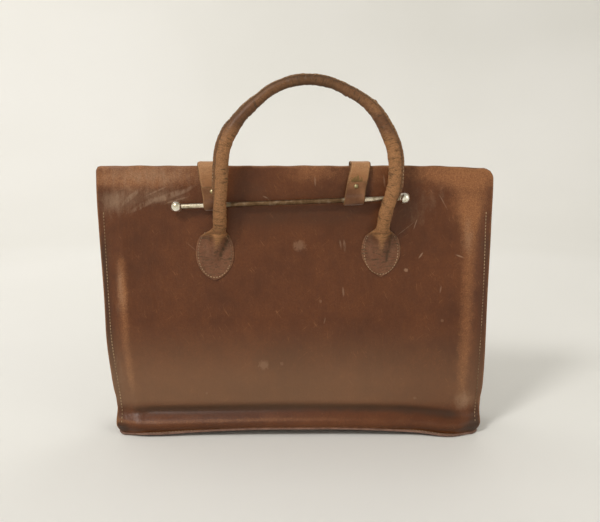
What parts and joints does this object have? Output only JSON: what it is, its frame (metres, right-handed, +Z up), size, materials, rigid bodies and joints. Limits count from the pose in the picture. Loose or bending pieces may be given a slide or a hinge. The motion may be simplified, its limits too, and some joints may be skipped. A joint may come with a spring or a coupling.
{
  "type": "document bag",
  "caption": "Flat leather bag for documents and cash, with folded side gussets, a ball-ended closing bar held by two riveted straps, and one rolled leather handle.",
  "frame": {"origin": "middle of the underside, on the ground", "axes": "+X along the front to the viewer's right, +Y to the rear, +Z up"},
  "size_m": [0.4, 0.0744, 0.369],
  "materials": {
    "panel_leather": "waxed, worn",
    "gusset_leather": "waxed",
    "handle_leather": "dry, worn",
    "strap_leather": "dry",
    "thread": "waxed linen",
    "cord": "twisted cord",
    "bar_metal": "worn nickel plate",
    "rivet_metal": "tarnished"
  },
  "bodies": {
    "shell": {"front_panel": "panel_leather", "base_panel": "panel_leather", "gusset_left": "gusset_leather", "gusset_right": "gusset_leather", "handle_tab_left": "handle_leather", "handle_tab_right": "handle_leather", "tab_thread_left": "thread", "tab_thread_right": "thread", "handle_backing_left": "gusset_leather", "handle_backing_right": "gusset_leather", "side_thread_front_left": "thread", "side_thread_front_right": "thread", "base_thread_front": "thread", "base_thread_rear": "thread"},
    "rear": {"rear_panel": "panel_leather", "strap_tail_left": "strap_leather", "strap_tail_right": "strap_leather", "tail_thread_left": "thread", "tail_thread_right": "thread", "side_thread_rear_left": "thread", "side_thread_rear_right": "thread"},
    "straps": {"strap_left": "strap_leather", "strap_right": "strap_leather", "strap_rivets": "rivet_metal", "rivet_washers": "rivet_metal"},
    "bar": {"closure_rod": "bar_metal", "ball_left": "bar_metal", "ball_right": "bar_metal"},
    "handle": {"handle_cover": "handle_leather", "handle_seam_edge": "handle_leather", "handle_core": "cord", "handle_thread": "thread"}
  },
  "joints": [
    {"name": "strap_swing", "type": "hinge", "parent": "rear", "child": "straps", "pos_m": [0, 0.0091, 0.277], "axis": [-1, 0, 0], "range_deg": [0, 150]},
    {"name": "handle_fold", "type": "hinge", "parent": "shell", "child": "handle", "pos_m": [0, -0.02814, 0.2085], "axis": [1, 0, 0], "range_deg": [0, 150]},
    {"name": "mouth_open", "type": "hinge", "parent": "shell", "child": "rear", "pos_m": [0, 0.0317, 0.0064], "axis": [-1, 0, 0], "range_deg": [0, 6], "deforming": ["gusset_left", "gusset_right"]},
    {"name": "bar_slide", "type": "slide", "parent": "straps", "child": "bar", "axis": [0.9993, 0, 0.0369], "range_m": [0, 0.021]}
  ],
  "couplings": [
    {"joint": "handle_fold", "follows": "strap_swing", "ratio": 1},
    {"joint": "mouth_open", "follows": "strap_swing", "ratio": 0.04}
  ]
}
